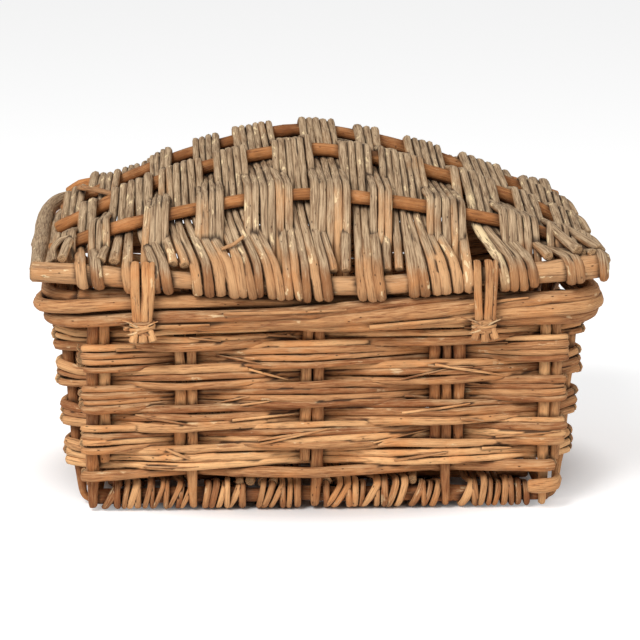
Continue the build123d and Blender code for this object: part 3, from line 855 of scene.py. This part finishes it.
# Lid weavers: over groups pass above the first and third ribs, under groups above the others.
# low and high are a group's reach in x where it shows on the lower and upper of its ribs, near holds
# each rod's place on the near rod, and ends says whether it wraps (w) or is cut off on top (b).
lidWeave = dict(
    thick=3.1, least=6.2, most=9.4, single=8.0, overlap=1.07, butt=4.7, tuck=10.0, wrap=215, hook=6,
    swing=42, buttReach=60, peeledPart=(0, 0.4, 1, 1, 0.5) + (0,) * 9,
    over=(
        dict(low=(-237, -217), high=(-238, -218), near=(-236, -229, -221)),
        dict(low=(-205, -187), high=(-204, -184), near=(-203, -196, -189)),
        dict(low=(-155, -135), high=(-156, -136), near=(-158, -151, -144, -138)),
        dict(low=(-110, -86), high=(-116, -91), near=(-112, -104, -97, -90)),
        dict(low=(-67, -25), high=(-78, -40), near=(-64, -57, -50, -43, -36, -29)),
        dict(low=(-8, 27), high=(-15, 20), near=(-8, -1, 6, 14, 22)),
        dict(low=(45, 63), high=(39, 63), near=(46, 53, 60)),
        dict(low=(95, 130), high=(86, 122), near=(97, 104, 111, 118, 125)),
        dict(low=(160, 195), high=(139, 180), near=(166, 173, 180, 187, 194)),
        dict(low=(203, 244), high=(198, 244), near=(204, 212, 220, 229, 237, 244)),
    ),
    under=(
        dict(low=(-219, -203), high=(-218, -203), near=(-211, -198), ends="ww"),
        dict(low=(-189, -152), high=(-187, -156), near=(-194, -182, -170, -146, -138), ends="bbwww"),
        dict(low=(-146, -107), high=(-140, -108), near=(-129, -119, -110, -100, -90, -80), ends="bbwwww"),
        dict(low=(-95, -66), high=(-96, -72), near=(-72, -64, -56, -47, -39), ends="wwwww"),
        dict(low=(-41, -6), high=(-46, -14), near=(-31, -23, -14, -6, 3, 12), ends="wwwwwb"),
        dict(low=(21, 50), high=(16, 44), near=(21, 33, 41, 49), ends="bwww"),
        dict(low=(57, 98), high=(52, 92), near=(58, 69, 80, 89, 98, 107, 117), ends="bbwwwww"),
        dict(low=(124, 164), high=(118, 148), near=(127, 158, 167, 175, 183), ends="wwwww", peeled=(1,)),
        dict(low=(180, 204), high=(172, 198), near=(201, 216, 224), ends="bww"),
        dict(low=(216, 240), high=(208, 238), near=(231, 239, 246), ends="bbw"),
    ),
)
lidStations = np.array((hinge["y"],) + ribs["y"] + (lidRod["farY"],))
point = 0.001  # the reach of a post that the rod only meets


def fitted(room):
    return min(max(room, lidWeave["least"]), lidWeave["most"])


def nearRoomFor(places, number):
    gaps = [b - a for a, b in zip(places, places[1:])][max(number - 1, 0): number + 1]
    return fitted(min(gaps) if gaps else lidWeave["single"])


def lidWeaver(group, number, over):
    near = group["near"][number]
    count = len(group["near"])
    end = "t" if over else group["ends"][number]
    lowStep, highStep = ((group[level][1] - group[level][0]) / count for level in ("low", "high"))
    low = group["low"][0] + lowStep * (number + 0.5)
    high = group["high"][0] + highStep * (number + 0.5)
    nearRoom, lowRoom, highRoom = nearRoomFor(group["near"], number), fitted(lowStep), fitted(highStep)
    if over:
        xs = (near, low, (low + high) / 2, high, high, high)
        rooms = (nearRoom, lowRoom, (lowRoom + highRoom) / 2, highRoom, highRoom, highRoom)
    else:
        xs = (near, 0.2 * near + 0.8 * low, low, (low + high) / 2, high, high)
        rooms = (nearRoom, lowRoom, lowRoom, lowRoom, highRoom, highRoom)
    thick = lidWeave["thick"] * dice.uniform(0.88, 1.12)
    posts = []
    for rib, y in enumerate(ribs["y"]):
        x = xs[rib + 1]
        side = 1 if (rib % 2 == 0) == over else -1
        slope = (ribHeight(rib, x + 3) - ribHeight(rib, x - 3)) / 6
        posts.append((y, ribHeight(rib, x), side * (ribs["radius"] + thick) * math.hypot(1, slope)))
    reach = lidRod["radius"] + thick
    nearZ, farZ = lidRodHeight(near), lidRodHeight(xs[-1])
    wrap, hook, butt = math.radians(lidWeave["wrap"]), lidWeave["hook"], lidWeave["butt"]
    if over:
        tuck = (hinge["y"] + reach + 1, nearZ - lidWeave["tuck"], point)
        posts = [tuck] + posts + [(lidRod["farY"], farZ, lidRod["farRadius"] + thick)]
        path = weave(posts, last=-wrap, tail=hook)
    else:
        far = (lidRod["farY"] - lidRod["farRadius"] - thick - 1, farZ - lidWeave["tuck"], point)
        if end == "w":
            path = weave([(hinge["y"], nearZ, reach)] + posts + [far], first=wrap, head=hook)
        else:
            stop = (hinge["y"] - dice.uniform(-3, 3), nearZ + lidRod["radius"] + butt, point)
            path = weave([stop] + posts + [far])
    path = softened(evenly(path, 1.5), 6)
    x = np.interp(path[:, 0], lidStations, xs)
    along = lengthAlong(path)
    x = np.convolve(np.pad(x, 8, mode="edge"), np.ones(17) / 17, mode="valid") + wander(along, 50, 0.5)
    wide = np.interp(path[:, 0], lidStations, rooms) / 2 * lidWeave["overlap"] * dice.uniform(0.95, 1.06)
    depth = np.full(len(path), thick)
    if end == "w":
        x = x + np.interp(along, (0, lidWeave["swing"]), (dice.uniform(3, 7), 0))
    if end == "b":
        wide = wide + np.interp(along, (0, lidWeave["buttReach"]), (butt - wide[0], 0))
        depth = np.interp(along, (0, lidWeave["buttReach"]), (butt * 0.95, thick))
    path[:, 1] += np.clip(wander(along, 70, 0.7), -0.6, 2)
    peeled = lidWeave["peeledPart"] if number in group.get("peeled", ()) else (0.0,)
    return dict(
        path=np.column_stack((x, path)), axis=(1, 0, 0), wide=wide, thick=depth, grey=1.0,
        greyFrom=(216, 252), straight=9, turn=22, knots=0.8, rough=0.06, peeled=peeled,
    )


extraRods = {
    1: (
        dict(points=((-234, -178, 236), (-237, -164, 244), (-231, -152, 250), (-217, -146, 252)), radius=3.4),
        dict(points=((-227, -189, 240), (-224, -160, 248), (-221, -146, 250)), radius=4.8),
        dict(points=((-223, 34, 267), (-206, 2, 270), (-186, -34, 271)), radius=4.8, flat=0.55, grey=0.1),
    ),
    10: (dict(points=((-88, -178, 246), (-76, -176, 250), (-68, -170, 256)), radius=1.8, grey=0.2),),
    20: (
        dict(points=((226, -188, 244), (214, -160, 252), (206, -140, 258)), radius=5.0),
        dict(points=((246, -176, 243), (232, -152, 250), (218, -132, 256)), radius=4.6),
        dict(points=((253, -150, 236), (245, -140, 246), (230, -134, 250), (216, -130, 256)), radius=4.2),
        dict(points=((252, -58, 236), (247, -48, 246), (234, -40, 251), (212, -33, 251)), radius=4.4),
        dict(points=((252, 36, 236), (247, 45, 246), (234, 52, 252), (211, 58, 252)), radius=4.4),
    ),
}
for kind, over in (("over", True), ("under", False)):
    for number, group in enumerate(lidWeave[kind]):
        rods = [lidWeaver(group, rod, over) for rod in range(len(group["near"]))]
        label = 2 * number + (1 if over else 2)
        for extra in extraRods.get(label, ()):
            radius, flat = extra["radius"], extra.get("flat", 1)
            rods.append(bentRod(
                extra["points"], 1.5, 12, (1, 0, 0), (radius, radius * 0.9),
                thick=(radius * flat, radius * 0.9 * flat), grey=extra.get("grey", 1.0), straight=6,
                knots=0.5,
            ))
        makePiece(f"lidWeavers{label:02d}", rods, "lid", [f"lid_weavers_{label:02d}"], "lid_willow")
print("stage: lid weavers")

# Hinge loops run over the near rod and round the rim, and a tie holds each below the rim
loops = dict(
    x=(-157.5, 143.0), strands=((-6.2, 4.4), (3.4, 4.2), (9.6, 2.6)), thick=3.2, gap=1.0, rimReach=15.4,
    pinch=0.3,
)
ties = dict(
    drop=13.0, front=18.6, bands=5, pitch=2.2, cross=4.5, bandRadius=(1.3, 2.0), paleBand=3,
    stubs=((-7.5, 4.0), (0.5, 4.3), (8.5, 4.1)), stubLength=13.0,
    tails=((-21, 9, 3), (-14, -5, -2), (14, 7, 2)),
)


def loopBelt(x):
    gap = loops["thick"] + loops["gap"]
    rodPost = (hinge["y"], hinge["z"], lidRod["radius"] + gap)
    rimPost = (-rim["y"], rimCentre(x), loops["rimReach"] + gap)
    belt = evenly(weave([rimPost, rodPost], closed=True), 1.5)
    start = int(np.argmax(belt[:, 0]))
    return np.concatenate((belt[start:-1], belt[: start + 4]))


for name, x in zip(("left", "right"), loops["x"]):
    belt = loopBelt(x)
    down = np.clip((hinge["z"] - belt[:, 1]) / 40, 0, 1)
    rods = []
    for offset, half in loops["strands"]:
        strandX = x + offset * (1 - loops["pinch"] * down) + wander(lengthAlong(belt), 25, 0.5)
        rods.append(dict(
            path=np.column_stack((strandX, belt)), axis=(1, 0, 0), wide=(half,) * 2,
            thick=(min(loops["thick"], half),) * 2, grey=0.4, straight=7, turn=18, rough=0.08, knots=0.3,
            tone=dice.uniform(0.2, 0.9),
        ))
    makePiece(f"{name}HingeLoop", rods, "basket", [f"{name}_hinge_loop"], "loop_willow")
    tieZ = rimCentre(x) - ties["drop"]
    front = -rim["y"] - ties["front"]
    rods = []
    for turn in range(ties["bands"]):
        z = tieZ - 4 + turn * ties["pitch"]
        cross = dice.uniform(-ties["cross"], ties["cross"])
        size = dice.uniform(*ties["bandRadius"])
        band = [(x, front - 2.6 - 0.4 * (turn % 3), z)]
        for out, depth, rise in ((7, -1.6, 0.6 * cross), (10.6, 1.5, cross), (9.6, 6, cross)):
            band = [(x - out, front + depth, z - rise)] + band + [(x + out, front + depth, z + rise)]
        rods.append(bentRod(
            band, 1.0, 4, (0, 0, 1), (size, size * 1.2, size), thick=(size * 0.7,) * 2, grey=0.5,
            straight=4, knots=0, peeled=(0.6,) if turn == ties["paleBand"] else (0.0,),
        ))
    for splay, radius in ties["stubs"]:
        points = [
            (x + splay * 0.5, front + 3, tieZ + 4), (x + splay * 0.8, front, tieZ - 3),
            (x + splay * 1.15, front - 1.5, tieZ - ties["stubLength"] + dice.uniform(-2, 2)),
        ]
        rods.append(bentRod(
            points, 1.5, 4, (1, 0, 0), (radius * 0.75, radius), thick=(radius * 0.7, radius * 0.9),
            grey=0.4, straight=4, knots=0,
        ))
    for endX, endZ, bow in ties["tails"]:
        points = [
            (x, front - 2, tieZ), (x + endX * 0.5, front - 3, tieZ + endZ * 0.4 + bow),
            (x + endX, front - 2, tieZ + endZ),
        ]
        rods.append(bentRod(
            points, 1.5, 6, (0, 0, 1), (1.1, 0.9, 0.4), thick=(0.9, 0.7, 0.3), grey=0.3, straight=5,
            knots=0, peeled=(0.5,),
        ))
    makePiece(f"{name}HingeTie", rods, "basket", [f"{name}_hinge_tie"], "loop_willow")
print("stage: hinge loops")

# Painted crevice shade: rays from each corner of the rods find how closed in it is, and the colour is
# darkened there as painted shade, which also stands for dirt
occlusionRays = dict(count=6, reach=10.0, lift=0.35, spread=0.95, fade=0.6)


def addShadeAndDirt(pieces):
    corners, faces, parts, start = [], [], [], 0
    for piece in pieces:
        mesh = piece.data
        places = vectorsOf(mesh, "co")
        parts.append((mesh, places, vectorsOf(mesh, "normal")))
        corners += places.tolist()
        faces += [tuple(v + start for v in face.vertices) for face in mesh.polygons]
        start += len(places)
    tree = BVHTree.FromPolygons(corners, faces)
    reach = occlusionRays["reach"] * mm
    fan = noise.normal(0, 1, (occlusionRays["count"], 3))
    fan /= np.linalg.norm(fan, axis=1)[:, None]
    for mesh, places, facing in parts:
        closed = np.zeros(len(places))
        origins = [Vector(p) for p in places + facing * occlusionRays["lift"] * mm]
        for direction in fan:
            aims = [Vector(aim) for aim in facing + direction * occlusionRays["spread"]]
            for i, origin in enumerate(origins):
                distance = tree.ray_cast(origin, aims[i], reach)[3]
                if distance is not None:
                    closed[i] += 1 - occlusionRays["fade"] * distance / reach
        mark = mesh.attributes.new("shadeAndDirt", "FLOAT", "POINT")
        mark.data.foreach_set("value", closed / occlusionRays["count"])


addShadeAndDirt(woven)
print("stage: grime")

# Floor, light and camera: the floor glows for the camera, but the glow fades out under and around the hamper,
# which is a painted shadow there
setting = dict(floorSize=14, paper=0.86, glow=0.5, footprint=(4.2, 5.6), glowFrom=(0.85, 1.3), roomLight=0.42)
deselectAll()
bpy.ops.mesh.primitive_plane_add(size=setting["floorSize"], location=(0, 0, 0))
floor = bpy.context.object
floor.name = "floor"
paint = Paint(bpy.data.materials.new("floorPaper"))
seen = paint.node("ShaderNodeLightPath")
matte = paint.node("ShaderNodeBsdfDiffuse", {}, {"Color": (setting["paper"],) * 3 + (1,)})
glow = paint.node("ShaderNodeEmission", {}, {"Color": (1, 1, 1, 1), "Strength": setting["glow"]})
place = paint.stretch(paint.node("ShaderNodeTexCoord", output=3), *setting["footprint"], 0)
around = paint.node("ShaderNodeVectorMath", {"operation": "LENGTH"}, {0: place}, output=1)
lit = paint.node("ShaderNodeAddShader", {}, {0: matte, 1: glow})
# painted shadow: the glow is taken away under and around the hamper, so the floor there is darker
clear = seen * around.between(*setting["glowFrom"])
shader = paint.node("ShaderNodeMixShader", {}, {0: clear, 1: matte, 2: lit})
paint.node("ShaderNodeOutputMaterial", {}, {"Surface": shader})
floor.data.materials.append(paint.owner)
floor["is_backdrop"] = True

paint = Paint(bpy.data.worlds.new("paleRoom"))
bpy.context.scene.world = paint.owner
seen = paint.node("ShaderNodeLightPath")
soft = paint.node("ShaderNodeBackground", {}, {"Color": (1, 1, 1, 1), "Strength": setting["roomLight"]})
white = paint.node("ShaderNodeBackground", {}, {"Color": (1, 1, 1, 1), "Strength": 1.0})
shader = paint.node("ShaderNodeMixShader", {}, {0: seen, 1: soft, 2: white})
paint.node("ShaderNodeOutputWorld", {}, {"Surface": shader})

lamps = dict(
    key=dict(place=(-1.3, -2.2, 2.4), size=1.4, power=86),
    fill=dict(place=(1.8, -2.0, 1.2), size=2.0, power=16),
)
for name, lamp in lamps.items():
    light = bpy.data.lights.new(name, "AREA")
    light.size = lamp["size"]
    light.energy = lamp["power"]
    holder = bpy.data.objects.new(name, light)
    holder.location = lamp["place"]
    holder.rotation_mode = "QUATERNION"
    holder.rotation_quaternion = (Vector((0, 0, 0.15)) - Vector(lamp["place"])).to_track_quat("-Z", "Y")
    bpy.context.scene.collection.objects.link(holder)

camera = dict(azimuth=-1.939, elevation=12.143, distance=2.5, lens=147.3, target=(0.00496, 0.0, 0.1433))
azimuth, elevation = math.radians(camera["azimuth"]), math.radians(camera["elevation"])
back = Vector((
    math.sin(azimuth) * math.cos(elevation), -math.cos(azimuth) * math.cos(elevation), math.sin(elevation)
))
lens = bpy.data.cameras.new("camera")
lens.lens = camera["lens"]
lens.sensor_width = 36
viewer = bpy.data.objects.new("camera", lens)
viewer.location = Vector(camera["target"]) + back * camera["distance"]
viewer.rotation_mode = "QUATERNION"
viewer.rotation_quaternion = (-back).to_track_quat("-Z", "Y")
bpy.context.scene.collection.objects.link(viewer)
bpy.context.scene.camera = viewer
bpy.context.scene.view_settings.view_transform = "Standard"
print("stage: floor, light and camera")

low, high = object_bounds()
triangles = sum(len(p.vertices) - 2 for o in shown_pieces() for p in o.data.polygons)
print("triangles", triangles)
